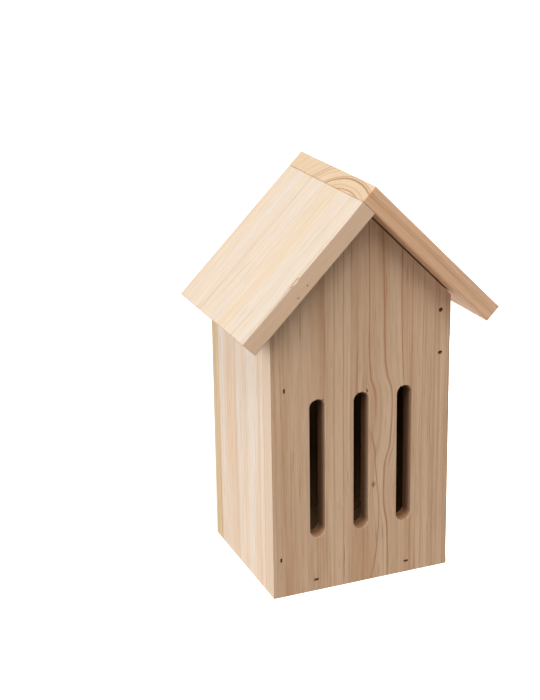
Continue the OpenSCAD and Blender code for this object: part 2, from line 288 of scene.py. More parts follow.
def front_marks(t, bent, ringed):
    place = put(t, "ShaderNodeSeparateXYZ", {0: bent}).outputs
    mask = None
    for offset, width, strength, low, high in STRONG:
        near = line_near(t, place[0], HEART_X + offset, width, strength)
        below = put(t, "ShaderNodeMapRange", {0: place[2], 1: low - FADE, 2: low + FADE}).outputs[0]
        above = put(t, "ShaderNodeMapRange", {0: place[2], 1: high - FADE, 2: high + FADE,
                                              3: 1.0, 4: 0.0}).outputs[0]
        reach = put(t, "ShaderNodeMath", {0: below, 1: above}, operation="MULTIPLY").outputs[0]
        one = put(t, "ShaderNodeMath", {0: near, 1: reach}, operation="MULTIPLY").outputs[0]
        mask = one if mask is None else put(t, "ShaderNodeMath", {0: mask, 1: one},
                                            operation="MAXIMUM").outputs[0]
    drawn = graph(t, place[2], PARTNER, PARTNER_TOP, PARTNER_MOST)
    beside = put(t, "ShaderNodeMath", {0: drawn, 1: place[0]}, operation="ADD").outputs[0]
    near = line_near(t, beside, HEART_X, 0.55, 0.7)
    above = put(t, "ShaderNodeMapRange", {0: place[2], 1: 78, 2: 92, 3: 1.0, 4: 0.0}).outputs[0]
    partner = put(t, "ShaderNodeMath", {0: near, 1: above}, operation="MULTIPLY").outputs[0]
    mask = put(t, "ShaderNodeMath", {0: mask, 1: partner}, operation="MAXIMUM").outputs[0]
    lined = put(t, "ShaderNodeMix", {0: mask, 6: ringed, 7: linear("#A2653E")}, data_type="RGBA").outputs[2]
    # A knot no bigger than a match head sits where the two lines close up.
    reach = distance_from(t, bent, KNOT, KNOT_SCALE)
    knot = put(t, "ShaderNodeMapRange", {0: reach, 1: 0.3, 2: 1.5, 3: 0.85, 4: 0.0}).outputs[0]
    return put(t, "ShaderNodeMix", {0: knot, 6: lined, 7: linear("#7C4A30")}, data_type="RGBA").outputs[2]


def slot_wall_painted_shade(t, bent, ringed):
    """Painted shade in the slots: their walls get browner the deeper they go, away from the light."""
    depth = put(t, "ShaderNodeSeparateXYZ", {0: bent}).outputs[1]
    shade_share = put(t, "ShaderNodeMapRange", {0: depth, 1: -43.5, 2: -36.5, 3: 0.0, 4: 0.85}).outputs[0]
    return put(t, "ShaderNodeMix", {0: shade_share, 6: ringed, 7: linear("#6E4420")}, data_type="RGBA").outputs[2]


# One board of pine gives the front's face, the slots' walls and the crushed rims round its brads.
FRONT_LOG = ((1, 0, 0), (0, 1, 0), (HEART_X, -29.5), 2.9)
FRONT_LOOK = ("#CFAF90", "#8E5A3C", "#B98E69", 0.36, 1.7, 1.0)
front_wood = sawn_softwood("sawn_pine_front", *FRONT_LOG, *FRONT_LOOK, flow=front_flow, marks=front_marks,
                           streaks=0.38, painted_edge_tone="#E4D2BE")
# The slots' walls take painted shade that deepens into the slots.
routed_wood = sawn_softwood("routed_pine_painted_shade", *FRONT_LOG, *FRONT_LOOK, marks=slot_wall_painted_shade, roughness=0.8)
print(front_wood.name, routed_wood.name)

# %% [markdown]
# The other boards come from other places in the tree. The left side and the left roof board are pale and
# nearly free of figure. The right roof board was cut forty millimetres from the tree's heart, so its end, which
# shows along the ridge, has bold flat arcs.

# %% Wood for the other boards
S = math.sqrt(0.5)
ROOF_PITH = (42.0, 109.0)
# Each bold ring: its radius, its width and its strength.
BOLD = [(43.0, 0.7, 0.75), (49.6, 0.9, 0.9), (51.0, 0.5, 0.5), (56.0, 0.6, 0.35), (61.2, 0.7, 0.6)]
side_wood = sawn_softwood("sawn_spruce_side", (0, 1, 0), (-1, 0, 0), (-70, 40), 3.1,
                          "#E6D8CA", "#BE8F68", "#E0BE98", contrast=0.6, seed=4.2, streaks=0.3)
right_side_wood = sawn_softwood("sawn_spruce_right_side", (0, -1, 0), (1, 0, 0), (55, 30), 3.4,
                                "#DCC9AC", "#A97B50", "#D8BC92", contrast=0.6, seed=8.9)
back_wood = sawn_softwood("sawn_spruce_back", (1, 0, 0), (0, 1, 0), (-12, 80), 3.2,
                          "#DAC3A0", "#9A6B42", "#CFAF84", contrast=0.8, seed=6.1)
floor_wood = sawn_softwood("sawn_spruce_floor", (0, 1, 0), (0, 0, 1), (20, -35), 3.3,
                           "#D8C19E", "#9A6B42", "#CFAF84", contrast=0.8, seed=2.6)


def bold_years(t, bent, ringed):
    """Five hard years, drawn as bold rings round the same middle; they are faint on the long faces."""
    radius = distance_from(t, bent, (*ROOF_PITH, 0))
    bold = facing(t, (-S, 0, S), 0.6, 0.95, 0.3, 1.0)
    for at, width, strength in BOLD:
        near = line_near(t, radius, at, width, strength)
        near = put(t, "ShaderNodeMath", {0: near, 1: bold}, operation="MULTIPLY").outputs[0]
        ringed = put(t, "ShaderNodeMix", {0: near, 6: ringed, 7: linear("#A07248")},
                     data_type="RGBA").outputs[2]
    return ringed


# The left roof board's front and back edges get a darker tone as painted shade.
left_roof_wood = sawn_softwood("sawn_spruce_left_roof", (0, 1, 0), (-S, 0, S), (-64, 60), 3.6,
                               "#D8CBBE", "#BE9A76", "#DCC29E", contrast=0.4, seed=3.3, streaks=0.22,
                               painted_edge_tone="#D2A67E")
right_roof_wood = sawn_softwood("sawn_pine_right_roof", (0, -1, 0), (S, 0, S), ROOF_PITH, 6.0,
                                "#E2BB98", "#9A6440", "#D09C72", contrast=0.36, seed=5.4, streaks=0.2,
                                marks=bold_years, end_tone="#D4C0A2", end_mix=0.75)
# Round a brad's head the fibres are crushed dark, and the crater's walls are darkened further as painted
# shade in the hollow.
crushed_and_shaded_wood = sawn_softwood("crushed_pine_painted_shade", *FRONT_LOG, "#6A482C", "#3E2818", "#54361F", contrast=0.8,
                             seed=1.7, roughness=0.8)
# Inside, the boards were left as they came from the band saw: rough, fuzzy and dull. Their colours are also
# darkened a lot, as painted shade for the dim inside of the house.
shaded_inner_wood = sawn_softwood("band_sawn_spruce_inside_painted_shade", (1, 0, 0), (0, 1, 0), (-30, 95), 3.2,
                           "#8C6B4C", "#5E4029", "#7A5A3C", contrast=0.8, seed=7.7, roughness=0.85)
print("eight more woods")

# %% [markdown]
# ## Boards
# Each board is a copy of its CAD solid. The copy's loose triangles are merged, flat faces are joined again, and
# every outer edge gets a small round, because a sawn edge that is sanded for a second is never sharp. Cracks
# and chips are cut afterwards, with thin lens-shaped cutters, so they stay crisp. Large flats are shaded flat
# and everything between them smooth.

# %% Make a board from its CAD solid
WELD = 2e-6  # corners closer than this, in metres, are the same corner
SAME_WAY = 0.9999  # the cosine between two normals that count as equal
LARGE_FLAT = 60 * MM * MM
EASED_FACE, PIT_FACE = 90, 20  # mm2: an eased edge has a face over this, a pit's faces are under this
PIT_EDGES, HOLE_EDGE = (1.0, 2.6), 0.4  # mm: how long a pit's and the screw hole's edges are


def merged_copy(node_name, piece_name):
    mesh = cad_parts[node_name].data.copy()
    mesh.name = piece_name
    mesh.materials.clear()
    with edited(mesh) as bm:
        bmesh.ops.remove_doubles(bm, verts=bm.verts, dist=WELD)
        bmesh.ops.dissolve_limit(bm, angle_limit=math.radians(0.5), verts=bm.verts, edges=bm.edges)
    return put_in_scene(piece_name, mesh)


def bake_modifiers(obj):
    evaluated = obj.evaluated_get(bpy.context.evaluated_depsgraph_get())
    mesh = bpy.data.meshes.new_from_object(evaluated)
    old = obj.data
    obj.modifiers.clear()
    obj.data = mesh
    bpy.data.meshes.remove(old)
    mesh.name = obj.name


def refill_flats(mesh):
    """Fill each large flat again from its outlines, so that no sliver is left between its holes."""
    with edited(mesh) as bm:
        flats = []
        for face in sorted(bm.faces, key=lambda f: f.calc_area(), reverse=True):
            if face.calc_area() < LARGE_FLAT:
                break
            at = face.verts[0].co.copy()
            if not any(face.normal.dot(n) > SAME_WAY and abs((at - c).dot(n)) < 5 * WELD for n, c in flats):
                flats.append((face.normal.copy(), at))
        for normal, at in flats:
            old = {f for f in bm.faces if all(abs((v.co - at).dot(normal)) < WELD for v in f.verts)}
            bm.edges.index_update()
            edges = sorted({e for f in old for e in f.edges}, key=lambda e: e.index)
            outline = [e for e in edges if sum(f in old for f in e.link_faces) == 1]
            seams = [e for e in edges if all(f in old for f in e.link_faces)]
            bmesh.ops.delete(bm, geom=list(old), context="FACES_ONLY")
            bmesh.ops.delete(bm, geom=seams, context="EDGES")
            bmesh.ops.triangle_fill(bm, use_beauty=True, use_dissolve=False, edges=outline, normal=normal)
        bmesh.ops.recalc_face_normals(bm, faces=bm.faces)


def weigh_edges(mesh):
    """Mark the edges to be eased, and count them."""
    with edited(mesh) as bm:
        layers = bm.edges.layers.float
        weight = layers.get("bevel_weight_edge") or layers.new("bevel_weight_edge")
        eased = 0
        for edge in bm.edges:
            if len(edge.link_faces) != 2 or edge.calc_face_angle(0) < math.radians(25):
                continue
            small, large = sorted(f.calc_area() / MM ** 2 for f in edge.link_faces)
            length = edge.calc_length() / MM
            # Brads' pits and the screw's hole stay crisp. No other edges are as short as theirs.
            crisp = small < PIT_FACE and (PIT_EDGES[0] < length < PIT_EDGES[1] or length < HOLE_EDGE)
            if large >= EASED_FACE and not crisp:
                edge[weight] = 1.0
                eased += 1
    return eased


def eased_board(node_name, material, round_mm=0.7, clamp=False, cutter=None, others=()):
    """Others are pairs: a material, and a test of a face's middle that says whether it takes it."""
    obj = merged_copy(node_name, node_name + "_board")
    eased = weigh_edges(obj.data)
    bevel = obj.modifiers.new("eased", "BEVEL")
    bevel.limit_method, bevel.width, bevel.segments = "WEIGHT", round_mm * MM, 3
    bevel.profile = 0.6
    bevel.use_clamp_overlap = clamp
    bake_modifiers(obj)
    refill_flats(obj.data)
    if cutter:
        cut = obj.modifiers.new("cracks", "BOOLEAN")
        cut.object, cut.operation, cut.solver = cutter, "DIFFERENCE", "MANIFOLD"
        bake_modifiers(obj)
        bpy.data.objects.remove(cutter)
    obj.data.materials.clear()
    obj.data.materials.append(material)
    for other, _ in others:
        obj.data.materials.append(other)
    obj.data.set_sharp_from_angle(angle=math.radians(32))
    planes = [face.normal.copy() for face in obj.data.polygons if face.area > LARGE_FLAT]
    for face in obj.data.polygons:
        face.use_smooth = all(face.normal.dot(plane) < SAME_WAY for plane in planes)
        middle = face.center / MM
        face.material_index = next((i + 1 for i, (_, where) in enumerate(others) if where(*middle)), 0)
    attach(obj, "house")
    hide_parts(node_name)
    check = bmesh.new()
    check.from_mesh(obj.data)
    open_edges = sum(1 for e in check.edges if len(e.link_faces) != 2)
    volume = check.calc_volume() / MM ** 3
    check.free()
    print(obj.name, eased, "edges eased,", len(obj.data.polygons), "faces,", open_edges, "open edges,",
          round(volume / 1000, 1), "cm3")


# %% [markdown]
# Softwood splits along its fibres when it dries. A crack is a long thin lens, a third of a millimetre wide in
# the middle and coming to nothing at both ends. It is cut a millimetre or so deep into the face.

# %% Cutters for cracks
FACE = front_y / MM
UP, OUT = (0, 0, 1), (0, -1, 0)
CRACK_STEPS = 14


def crack_cutter(name, cracks):
    """Each crack: its middle, its direction, the face's outward normal, then length, width and depth in mm."""
    bm = bmesh.new()
    for middle, along, normal, length, width, depth in cracks:
        along, normal = Vector(along).normalized(), Vector(normal).normalized()
        side = along.cross(normal)
        rows = []
        for i in range(CRACK_STEPS + 1):
            f = i / CRACK_STEPS
            half = max(0.02, width / 2 * math.sin(math.pi * f) ** 0.7) * MM
            sway = 0.16 * math.sin(f * 7 + length) * MM
            centre = Vector(middle) * MM + along * (f - 0.5) * length * MM + side * sway
            top = normal * 0.6 * MM
            low = -normal * max(0.15, depth * math.sin(math.pi * f) ** 0.5) * MM
            rows.append([bm.verts.new(centre + side * half + top), bm.verts.new(centre - side * half + top),
                         bm.verts.new(centre + low)])
        for a, b in zip(rows, rows[1:]):
            for i in range(3):
                j = (i + 1) % 3
                bm.faces.new((a[i], a[j], b[j], b[i]))
        bm.faces.new(list(reversed(rows[0])))
        bm.faces.new(rows[-1])
    bmesh.ops.recalc_face_normals(bm, faces=bm.faces)
    mesh = bpy.data.meshes.new(name)
    bm.to_mesh(mesh)
    bm.free()
    return put_in_scene(name, mesh)


def pin_hole(cutter, middle, normal, width, depth, tall=1.0):
    """Adds a short tapered plug to a cutter. Tall is its height as a share of its width."""
    with edited(cutter.data) as bm:
        lean = Vector(normal).to_track_quat("Z", "Y").to_matrix().to_4x4() @ Matrix.Diagonal((1, tall, 1, 1))
        made = bmesh.ops.create_cone(bm, cap_ends=True, segments=14, radius1=width * 0.42 * MM,
                                     radius2=width * 0.58 * MM, depth=2 * depth * MM)
        bmesh.ops.transform(bm, matrix=Matrix.Translation(Vector(middle) * MM) @ lean, verts=made["verts"])


# The slots in millimetres: their middles, width, and lowest and highest points.
SLOT_X, SLOT_W, SLOT_LOW, SLOT_TOP = (-25.9, -0.4, 25.1), 9.0, 31.5, 110.5
front_cracks = crack_cutter("front_cracks", [
    ((-35.4, FACE, 152.5), UP, OUT, 21, 0.34, 1.2),
    ((-8.0, FACE, 190.0), (0.02, 0, 1), OUT, 9, 0.5, 1.4),
    ((-10.4, FACE, 14.5), UP, OUT, 22, 0.6, 1.6),
    ((-36.2, FACE, 60.0), UP, OUT, 26, 0.34, 1.0),
    ((-21.4, FACE, 138.0), UP, OUT, 44, 0.3, 1.0),
    # Fibres tore out where the router came round the upper ends of the slots.
    ((SLOT_X[1] + 3.3, FACE, SLOT_TOP - 0.2), UP, OUT, 4.6, 1.2, 2.4),
    ((SLOT_X[1] - 1.9, FACE, SLOT_TOP - 0.9), UP, OUT, 2.6, 1.5, 2.6),
    ((SLOT_X[1] + 0.6, FACE, SLOT_TOP - 0.2), UP, OUT, 1.7, 1.3, 1.8),
    ((SLOT_X[2] - 2.4, FACE, SLOT_TOP - 1.0), UP, OUT, 2.4, 1.2, 2.2),
    ((SLOT_X[0] + 3.2, FACE, SLOT_TOP - 1.4), UP, OUT, 2.6, 1.7, 3.2),
])
# A brad's head crushes a small crater round itself: each has its middle (x, z), its width and its height.
CRATERS = [(46.1, 150.0, 2.3, 2.3), (46.1, 126.0, 2.3, 2.0), (-47.4, 22.0, 1.0, 2.3), (-44.6, 118.0, 1.0, 2.3),
           (-27.0, 6.5, 3.0, 1.5), (27.0, 6.5, 3.0, 1.4)]
for x, z, wide, tall in CRATERS:
    pin_hole(front_cracks, (x, FACE, z), OUT, wide, 0.76, tall / wide)
# The left roof board has a hairline crack, a chip out of its front upper edge and two pin holes.
EDGE, TOP = roof_front / MM, roof_top / MM
roof_marks = crack_cutter("roof_marks", [
    ((-54.0, -4.7, TOP - 54.0), (-S, 0.13, -S), (-S, 0, S), 31, 0.5, 0.9),
    ((-44.2, EDGE, TOP - 44.2), (-S, 0, -S), (-S, -1, S), 7.5, 3.4, 1.6),
    ((-46.6, EDGE, TOP - 46.6), (-S, 0, -S), (-S, -1, S), 3.4, 2.2, 1.3),
])
pin_hole(roof_marks, (-37.3, EDGE, 178.2), OUT, 0.9, 1.6)
pin_hole(roof_marks, (-42.3, EDGE, 172.4), OUT, 0.9, 1.6)
print("cutters for the front's cracks and the roof's marks made")

# %% [markdown]
# The seven boards are made in turn. Two get the cutters. A face that belongs to a slot's wall, lies round a
# brad or looks into the house gets the wood that belongs there, which carries painted shade.

# %% Boards
BOARD = round(board_t / MM, 2)
INNER_X, INNER_Y = half_w / MM - BOARD, -FACE - BOARD
# All slots lie in one zone. A face of their walls has its middle inside the board, clear of its two faces.
SLOTS_X, SLOTS_Z, WALL_Y = 36, (25, 113), 4.4
CRATER_R = 1.9


def in_slot(x, y, z):
    return abs(x) < SLOTS_X and SLOTS_Z[0] < z < SLOTS_Z[1] and abs(y - FACE - BOARD / 2) < WALL_Y


def in_crater(x, y, z):
    return y > FACE + 0.03 and any(math.hypot(x - cx, z - cz) < CRATER_R for cx, cz, _, _ in CRATERS)


def in_house(x, y, z):
    return abs(x) < INNER_X + 0.1 and abs(y) < INNER_Y + 0.1 and z > BOARD - 0.5


inside = [(shaded_inner_wood, in_house)]
eased_board("front_panel", front_wood, 0.8, clamp=True, cutter=front_cracks,
            others=[(crushed_and_shaded_wood, in_crater), (routed_wood, in_slot)])
eased_board("back_panel", back_wood, others=inside)
eased_board("left_side", side_wood, 0.4, others=inside)
eased_board("right_side", right_side_wood, 0.4, others=inside)
eased_board("floor_board", floor_wood, 0.4, others=inside)
eased_board("left_roof", left_roof_wood, 0.65, cutter=roof_marks)
eased_board("right_roof", right_roof_wood, 0.65)

# %% [markdown]
# ## Metal
# Brads are cut from galvanised wire and fired below the surface, where their heads look dark. The hanger is
# bent from sheet and wire and zinc plated, which gives a bright, slightly mottled grey.

# %% Metal finishes
def zinc_plated_steel(name, colour, dark, roughness, mottle_mm):
    mat, t = blank_material(name)
    spot = put(t, "ShaderNodeTexCoord").outputs["Object"]
    cloud = put(t, "ShaderNodeTexNoise", {"Vector": spot, "Scale": 1 / (mottle_mm * MM),
                                          "Detail": 4.0}).outputs[0]
    tone = put(t, "ShaderNodeMix", {0: cloud, 6: linear(dark), 7: linear(colour)}, data_type="RGBA").outputs[2]
    rough = put(t, "ShaderNodeMapRange", {0: cloud, 1: 0.3, 2: 0.7, 3: roughness - 0.07, 4: roughness + 0.1})
    scratch = put(t, "ShaderNodeTexNoise", {"Vector": spot, "Scale": 9000.0, "Detail": 2.0}).outputs[0]
    bump = put(t, "ShaderNodeBump", {"Height": scratch, "Strength": 0.15, "Distance": 0.00002}).outputs[0]
    shader = put(t, "ShaderNodeBsdfPrincipled", {"Base Color": tone, "Roughness": rough.outputs[0],
                                                 "Normal": bump, "Metallic": 1.0})
    put(t, "ShaderNodeOutputMaterial", {"Surface": shader.outputs[0]})
    return mat


brad_metal = zinc_plated_steel("galvanised_brad_wire", "#6E6A66", "#3A3734", 0.5, 1.5)
hanger_metal = zinc_plated_steel("zinc_plated_hanger_steel", "#D3D4D2", "#A9ABAA", 0.3, 3.0)
print(brad_metal.name, hanger_metal.name)

# %% [markdown]
# ## Brads
# A brad gun drives a T-shaped pin of flattened wire: a narrow head, a long wire and a chisel point. Its edges
# are rolled, not sharp. One node tree makes them all: it builds one pin, sets it on every point of a small cloud
# of points, and wears each one down a little differently.

# %% The brad's tree
def new_tree(name, **inputs):
    """A tree with an input for each label, by kind."""
    tree = bpy.data.node_groups.new(name, "GeometryNodeTree")
    tree.interface.new_socket("Geometry", in_out="INPUT", socket_type="NodeSocketGeometry")
    tree.interface.new_socket("Geometry", in_out="OUTPUT", socket_type="NodeSocketGeometry")
    for kind, labels in inputs.items():
        for label in labels:
            tree.interface.new_socket(label, in_out="INPUT", socket_type="NodeSocket" + kind)
    return tree, put(tree, "NodeGroupInput").outputs


def stand(tree, inputs, lean=(0, 0, 0)):
    """Set a shape on each point by its own turn and a lean, and make the copies real."""
    own = put(tree, "GeometryNodeInputNamedAttribute", {"Name": "turn"}, data_type="FLOAT_VECTOR").outputs[0]
    turn = put(tree, "ShaderNodeVectorMath", {0: own, 1: lean}, operation="ADD").outputs[0]
    rotation = put(tree, "FunctionNodeEulerToRotation", {0: turn}).outputs[0]
    stood = put(tree, "GeometryNodeInstanceOnPoints", {**inputs, "Rotation": rotation}).outputs[0]
    return put(tree, "GeometryNodeRealizeInstances", {0: stood}).outputs[0]


def finish_tree(tree, geometry, material):
    done = put(tree, "GeometryNodeSetMaterial", {"Geometry": geometry, "Material": material}).outputs[0]
    put(tree, "NodeGroupOutput", {0: done})
    return tree


def brad_tree():
    tree, given = new_tree("brads", Int=["Seed"], Material=["Metal"], Float=[
        "Length", "Wire Width", "Thickness", "Head Width", "Head Height", "Point", "Wear"])

    def block(width, height, top, x, z):
        """A box that hangs down from its top, with x and z corners along its width and height."""
        size = put(tree, "ShaderNodeCombineXYZ", {0: width, 1: given["Thickness"], 2: height}).outputs[0]
        cube = put(tree, "GeometryNodeMeshCube", {"Size": size, "Vertices X": x, "Vertices Y": 4,
                                                  "Vertices Z": z}).outputs[0]
        half = put(tree, "ShaderNodeMath", {0: height, 1: -0.5, 2: top}, operation="MULTIPLY_ADD").outputs[0]
        lift = put(tree, "ShaderNodeCombineXYZ", {2: half}).outputs[0]
        return put(tree, "GeometryNodeTransform", {"Geometry": cube, "Translation": lift}).outputs[0]

    head = block(given["Head Width"], given["Head Height"], 0.0, 8, 4)
    under = put(tree, "ShaderNodeMath", {0: given["Head Height"], 1: -0.5}, operation="MULTIPLY").outputs[0]
    shaft = put(tree, "ShaderNodeMath", {0: given["Length"], 1: under}, operation="ADD").outputs[0]
    wire = block(given["Wire Width"], shaft, under, 5, 34)
    # The chisel point: below its start the wire narrows evenly to a thin edge.
    place = put(tree, "GeometryNodeInputPosition").outputs[0]
    height = put(tree, "ShaderNodeSeparateXYZ", {0: place}).outputs[2]
    depth = put(tree, "ShaderNodeMath", {0: height, 1: given["Length"]}, operation="ADD").outputs[0]
    share = put(tree, "ShaderNodeMath", {0: depth, 1: given["Point"]}, operation="DIVIDE").outputs[0]
    narrow = put(tree, "ShaderNodeClamp", {0: share, 1: 0.06, 2: 1.0}).outputs[0]
    scale = put(tree, "ShaderNodeCombineXYZ", {0: narrow, 1: 1.0, 2: 1.0}).outputs[0]
    pointed = put(tree, "ShaderNodeVectorMath", {0: place, 1: scale}, operation="MULTIPLY").outputs[0]
    wire = put(tree, "GeometryNodeSetPosition", {"Geometry": wire, "Position": pointed}).outputs[0]
    pin = put(tree, "GeometryNodeMeshBoolean", operation="UNION", solver="EXACT")
    tree.links.new(head, pin.inputs["Mesh 2"])
    tree.links.new(wire, pin.inputs["Mesh 2"])
    rolled = put(tree, "GeometryNodeSubdivisionSurface", {"Mesh": pin.outputs[0], "Level": 1}).outputs[0]
    real = stand(tree, {"Points": given["Geometry"], "Instance": rolled})
    # Wear only takes metal away, so every pin stays inside its hole. Its dents are half a millimetre wide.
    salt = put(tree, "ShaderNodeMath", {0: given["Seed"], 1: 7.3}, operation="MULTIPLY").outputs[0]
    lumps = put(tree, "ShaderNodeTexNoise", {"Vector": place, "W": salt, "Scale": 1900.0, "Detail": 2.0},
                noise_dimensions="4D").outputs[0]
    lost = put(tree, "ShaderNodeMath", {0: lumps, 1: given["Wear"]}, operation="MULTIPLY").outputs[0]
    inward = put(tree, "ShaderNodeMath", {0: lost, 1: -1.0}, operation="MULTIPLY").outputs[0]
    normal = put(tree, "GeometryNodeInputNormal").outputs[0]
    push = put(tree, "ShaderNodeVectorMath", {0: normal, 3: inward}, operation="SCALE").outputs[0]
    worn = put(tree, "GeometryNodeSetPosition", {"Geometry": real, "Offset": push}).outputs[0]
    return finish_tree(tree, worn, given["Metal"])


def grow(name, base, tree, values):
    """Run a tree on a base mesh, with its inputs set by name, and keep the result as a plain mesh."""
    obj = put_in_scene(name, base)
    modifier = obj.modifiers.new("grown", "NODES")
    modifier.node_group = tree
    sockets = {item.name: item.identifier for item in tree.interface.items_tree if item.in_out == "INPUT"}
    for label, value in values.items():
        modifier[sockets[label]] = value
    bake_modifiers(obj)
    obj.data.materials.clear()
    obj.data.materials.append(next(v for v in values.values() if isinstance(v, bpy.types.Material)))
    for face in obj.data.polygons:
        face.use_smooth = True
        face.material_index = 0
    obj.data.set_sharp_from_angle(angle=math.radians(50))
    return obj


def start_mesh(name, places, edges, turns):
    """A mesh of bare corners, each with the turn of what will stand on it."""
    mesh = bpy.data.meshes.new(name)
    mesh.from_pydata(places, edges, [])
    kept = mesh.attributes.new("turn", "FLOAT_VECTOR", "POINT")
    for i, turn in enumerate(turns):
        kept.data[i].vector = turn
    return mesh


# %% [markdown]
# Where the brads are is read from the model. Each brad there is a separate lump of mesh. Its longest axis runs
# from the point to the head, and the corners at the head's end give the head's middle and the way it is turned.

# %% Place the brads
def lumps_of(mesh):
    """The separate pieces of a mesh, each as a list of its corners."""
    bm = bmesh.new()
    bm.from_mesh(mesh)
    bmesh.ops.remove_doubles(bm, verts=bm.verts, dist=WELD)
    left = set(bm.verts)
    lumps = []
    for start in bm.verts:
        if start not in left:
            continue
        left.remove(start)
        todo, lump = [start], []
        while todo:
            vert = todo.pop()
            lump.append(vert.co.copy())
            for edge in vert.link_edges:
                other = edge.other_vert(vert)
                if other in left:
                    left.remove(other)
                    todo.append(other)
        lumps.append(lump)
    bm.free()
    return lumps


def brad_place(corners):
    """A brad's head middle, its outward axis and the direction of its head's width."""
    first = corners[0]
    end = max(corners, key=lambda c: (c - first).length)
    start = max(corners, key=lambda c: (c - end).length)
    axis = (end - start).normalized()
    along = sorted(corners, key=lambda c: c.dot(axis))
    ends = [[c for c in corners if abs((c - at).dot(axis)) < 0.3 * MM] for at in (along[0], along[-1])]
    spread = [max((a - b).length for a in group for b in group) for group in ends]
    top = ends[0] if spread[0] > spread[1] else ends[1]
    middle = sum(top, Vector()) / len(top)
    every = sum(corners, Vector()) / len(corners)
    outward = axis if (middle - every).dot(axis) > 0 else -axis
    # The corners at the head's end are four, so its longer side is the way it is turned.
    a = top[0]
    others = sorted(top[1:], key=lambda c: (c - a).length)
    side = [c for c in others if (c - a).length > 1.5 * MM][0] - a
    side = side - outward * side.dot(outward)
    return middle, outward.normalized(), side.normalized()


LONG_BRADS = ["front_left_brads", "front_right_brads", "front_floor_brads", "back_left_brads",
              "back_right_brads", "back_floor_brads", "ridge_brads", "gable_brads"]
made_brads = brad_tree()
for name, nodes, length in (("brads_25mm", LONG_BRADS, 25), ("brads_16mm", ["eave_brads"], 16)):
    lumps = [lump for node in nodes for lump in lumps_of(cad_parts[node].data)]
    placed = [brad_place(lump) for lump in lumps]
    cloud = start_mesh(name, [middle for middle, _, _ in placed], [], [
        Matrix((side, outward.cross(side), outward)).transposed().to_euler() for _, outward, side in placed])
    brads = grow(name, cloud, made_brads, {
        "Length": length * MM, "Wire Width": 1.3 * MM, "Thickness": 1.1 * MM, "Head Width": 2.4 * MM,
        "Head Height": 0.8 * MM, "Point": 2.0 * MM, "Wear": 0.05 * MM, "Seed": 3, "Metal": brad_metal})
    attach(brads, "house")
    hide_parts(*nodes)
    print(name, len(lumps), "brads,", len(brads.data.polygons), "faces")

# %% [markdown]
# ## Torn fibres
# A router bit leaves fuzz where it crosses the grain, so both ends of every slot have a fringe of torn fibres. A
# second tree grows them: it spreads points along a curve, drops most of them by chance, and stands a thin bent
# spike along the grain on each of the rest.

# %% The fibre's tree
def fibre_tree():
    tree, given = new_tree("torn_fibres", Int=["Seed"], Material=["Wood"], Float=[
        "Spacing", "Length", "Thickness", "Share", "Bend"])
    path = put(tree, "GeometryNodeMeshToCurve", {0: given["Geometry"]}).outputs[0]
    dots = put(tree, "GeometryNodeCurveToPoints", {"Curve": path, "Length": given["Spacing"]},
               mode="LENGTH").outputs[0]
    half = put(tree, "ShaderNodeMath", {0: given["Thickness"], 1: 0.5}, operation="MULTIPLY").outputs[0]
    spike = put(tree, "GeometryNodeMeshCone", {"Vertices": 5, "Side Segments": 6, "Radius Top": 0.0,
                                               "Radius Bottom": half, "Depth": given["Length"]}).outputs[0]
    keep = put(tree, "FunctionNodeRandomValue", {"Probability": given["Share"], "Seed": given["Seed"]},
               data_type="BOOLEAN").outputs[3]
    other_seed = put(tree, "ShaderNodeMath", {0: given["Seed"], 1: 1.0}, operation="ADD").outputs[0]
    grown = put(tree, "FunctionNodeRandomValue", {2: 0.3, 3: 1.0, "Seed": other_seed}).outputs[1]
    lean = put(tree, "FunctionNodeRandomValue", {0: (-0.5, -0.12, 0.0), 1: (0.1, 0.12, 6.2), "Seed": other_seed},
               data_type="FLOAT_VECTOR").outputs[0]
    size = put(tree, "ShaderNodeCombineXYZ", {0: 1.0, 1: 1.0, 2: grown}).outputs[0]
    real = stand(tree, {"Points": dots, "Selection": keep, "Instance": spike, "Scale": size}, lean)
    place = put(tree, "GeometryNodeInputPosition").outputs[0]
    sway = put(tree, "ShaderNodeTexNoise", {"Vector": place, "Scale": 420.0, "Detail": 1.0}).outputs["Color"]
    sway = put(tree, "ShaderNodeVectorMath", {0: sway, 1: (0.5, 0.5, 0.5)}, operation="SUBTRACT").outputs[0]
    push = put(tree, "ShaderNodeVectorMath", {0: sway, 3: given["Bend"]}, operation="SCALE").outputs[0]
    bent = put(tree, "GeometryNodeSetPosition", {"Geometry": real, "Offset": push}).outputs[0]
    return finish_tree(tree, bent, given["Wood"])


# %% [markdown]
# The curves are the rounded ends of the slots, a little over a millimetre behind the face. The spikes at the
# upper end hang down and those at the lower end stand up, so both point into the slot.

# %% Fringe the slots
FUZZ_Y = FACE + 1.3
FUZZ_ANGLES = [math.radians(12 + 13 * i) for i in range(13)]
slot_r = SLOT_W / 2
corners, pairs, turned = [], [], []
for x in SLOT_X:
    for upper in (True, False):
        middle, way = (SLOT_TOP - slot_r, 1) if upper else (SLOT_LOW + slot_r, -1)
        for i, angle in enumerate(FUZZ_ANGLES):
            if i:
                pairs.append((len(corners) - 1, len(corners)))
            corners.append(Vector((x + slot_r * math.cos(angle), FUZZ_Y,
                                   middle + way * slot_r * math.sin(angle))) * MM)
            turned.append((math.pi, 0, 0) if upper else (0, 0, 0))
rim = start_mesh("slot_fuzz", corners, pairs, turned)
slot_fuzz = grow("slot_fuzz", rim, fibre_tree(), {
    "Spacing": 0.16 * MM, "Length": 1.5 * MM, "Thickness": 0.17 * MM, "Share": 0.45, "Bend": 0.3 * MM,
    "Seed": 12, "Wood": front_wood})
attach(slot_fuzz, "house")
print("slot fuzz:", len(slot_fuzz.data.polygons), "faces")

# %% [markdown]
# ## Hanger
# The strap is a leaf of sheet steel folded round the ring's straight bar, held by one screw. The ring is bent
# from round wire. Sheared sheet has rolled edges, and the screw's recess is pressed, so both get a small round.
# The strap's is tiny, because the ring comes within a tenth of a millimetre of it.

